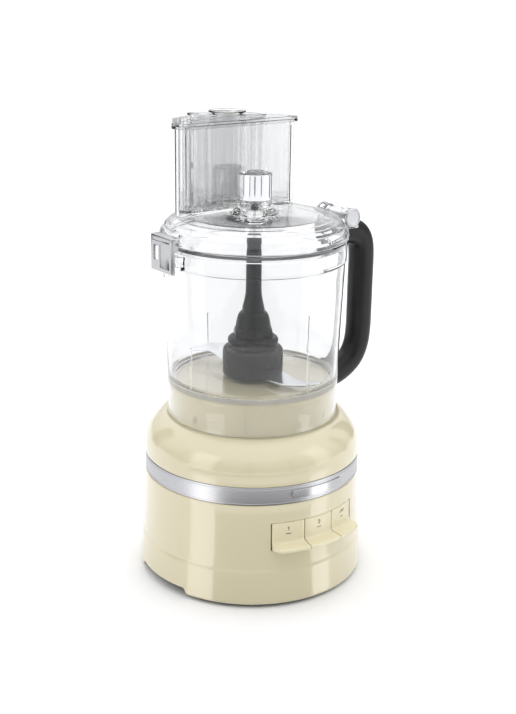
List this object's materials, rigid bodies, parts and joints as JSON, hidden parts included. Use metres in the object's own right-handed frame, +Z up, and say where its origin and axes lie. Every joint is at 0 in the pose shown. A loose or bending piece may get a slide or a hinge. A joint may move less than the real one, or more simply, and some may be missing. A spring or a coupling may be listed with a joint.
{
  "type": "food processor",
  "caption": "Countertop food processor: belt-driven motor base with press controls, clear locking work bowl with handle, lifting blade set, hinged feed-tube lid and nested pushers.",
  "frame": {"origin": "middle of the whole outline, on the table under the feet", "axes": "+Z up; the controls face -Y; the bowl handle and the lid hinge are towards +X and the lid latch towards -X; the spindle axis stands 19 mm towards -X and 4 mm towards +Y of the origin"},
  "size_m": [0.2576, 0.228, 0.44],
  "materials": {
    "cream": "gloss enamel cream",
    "clear": "clear, polished",
    "black": "satin black",
    "chrome": "polished",
    "brushed": "brushed",
    "steel": "satin",
    "rubber": "matt",
    "dark_plastic": "matt",
    "copper": "lacquered windings",
    "board": "circuit board",
    "silicone": "soft grey"
  },
  "bodies": {
    "base": {"base_housing": "cream", "shoulder_cap": "cream", "trim_band": "brushed", "name_plate": "chrome", "bottom_cover": "dark_plastic", "foot_1": "rubber", "foot_2": "rubber", "foot_3": "rubber", "foot_4": "rubber", "cover_screw_1": "steel", "cover_screw_2": "steel", "cover_screw_3": "steel", "cover_screw_4": "steel", "switch_board": "board", "switch_low": "dark_plastic", "switch_high": "dark_plastic", "switch_pulse": "dark_plastic", "cord_gland": "dark_plastic", "motor_plate": "steel", "motor_stator": "copper", "drive_belt": "rubber", "bearing_housing": "brushed", "bearing_lower": "steel", "bearing_upper": "steel", "interlock_switch": "dark_plastic"},
    "bowl": {"work_bowl": "clear", "handle_grip": "black", "hinge_bracket": "clear", "hinge_pin": "steel", "hinge_cap_front": "chrome", "hinge_cap_rear": "chrome"},
    "lid": {"clear_lid": "clear", "lid_seal": "silicone", "turret_sleeve": "chrome", "turret_bush": "brushed", "latch_pin": "steel"},
    "latch": {"latch_lever": "brushed"},
    "wide_pusher": {"pusher_wide": "clear"},
    "oval_pusher": {"pusher_oval": "clear"},
    "round_pusher": {"pusher_round": "clear"},
    "spindle": {"spindle_shaft": "steel", "spindle_pulley": "dark_plastic"},
    "motor": {"motor_rotor": "steel", "motor_pulley": "dark_plastic"},
    "blade": {"blade_hub": "black", "lock_collar": "black", "drive_adapter": "black", "stem_pin": "steel", "stem_cap": "black", "blade_lower": "steel", "blade_upper": "steel"},
    "low_paddle": {"paddle_low": "cream"},
    "high_paddle": {"paddle_high": "cream"},
    "pulse_paddle": {"paddle_pulse": "cream"}
  },
  "joints": [
    {"name": "bowl_lift", "type": "slide", "parent": "base", "child": "bowl", "axis": [0, 0, 1], "range_m": [0, 0.12]},
    {"name": "lid_hinge", "type": "hinge", "parent": "bowl", "child": "lid", "pos_m": [0.08298, 0.004, 0.338], "axis": [0, 1, 0], "range_deg": [0, 95]},
    {"name": "latch_pivot", "type": "hinge", "parent": "lid", "child": "latch", "pos_m": [-0.11462, 0.004, 0.335], "axis": [0, 1, 0], "range_deg": [0, 40]},
    {"name": "wide_pusher_lift", "type": "slide", "parent": "lid", "child": "wide_pusher", "axis": [0, 0, 1], "range_m": [0, 0.085]},
    {"name": "oval_pusher_lift", "type": "slide", "parent": "wide_pusher", "child": "oval_pusher", "axis": [0, 0, 1], "range_m": [0, 0.085]},
    {"name": "round_pusher_lift", "type": "slide", "parent": "oval_pusher", "child": "round_pusher", "axis": [0, 0, 1], "range_m": [0, 0.085]},
    {"name": "spindle_spin", "type": "hinge", "parent": "base", "child": "spindle", "pos_m": [-0.01902, 0.004, 0.15], "axis": [0, 0, 1], "continuous": true},
    {"name": "motor_spin", "type": "hinge", "parent": "base", "child": "motor", "pos_m": [-0.01902, 0.056, 0.06], "axis": [0, 0, 1], "continuous": true},
    {"name": "blade_spin", "type": "hinge", "parent": "bowl", "child": "blade", "pos_m": [-0.01902, 0.004, 0.23], "axis": [0, 0, 1], "continuous": true},
    {"name": "low_press", "type": "hinge", "parent": "base", "child": "low_paddle", "pos_m": [-0.04868, -0.08836, 0.08], "axis": [0.9521, -0.3057, 0], "range_deg": [0, 3.5], "stiffness_Nm_per_rad": 1.2, "springref_deg": -1.15},
    {"name": "high_press", "type": "hinge", "parent": "base", "child": "high_paddle", "pos_m": [-0.01902, -0.093, 0.08], "axis": [1, 0, 0], "range_deg": [0, 3.5], "stiffness_Nm_per_rad": 1.2, "springref_deg": -1.15},
    {"name": "pulse_press", "type": "hinge", "parent": "base", "child": "pulse_paddle", "pos_m": [0.01063, -0.08836, 0.08], "axis": [0.9521, 0.3057, 0], "range_deg": [0, 3.5], "stiffness_Nm_per_rad": 1.2, "springref_deg": -1.15}
  ],
  "couplings": [
    {"joint": "blade_spin", "follows": "spindle_spin", "ratio": 1},
    {"joint": "motor_spin", "follows": "spindle_spin", "ratio": 4.5625}
  ]
}
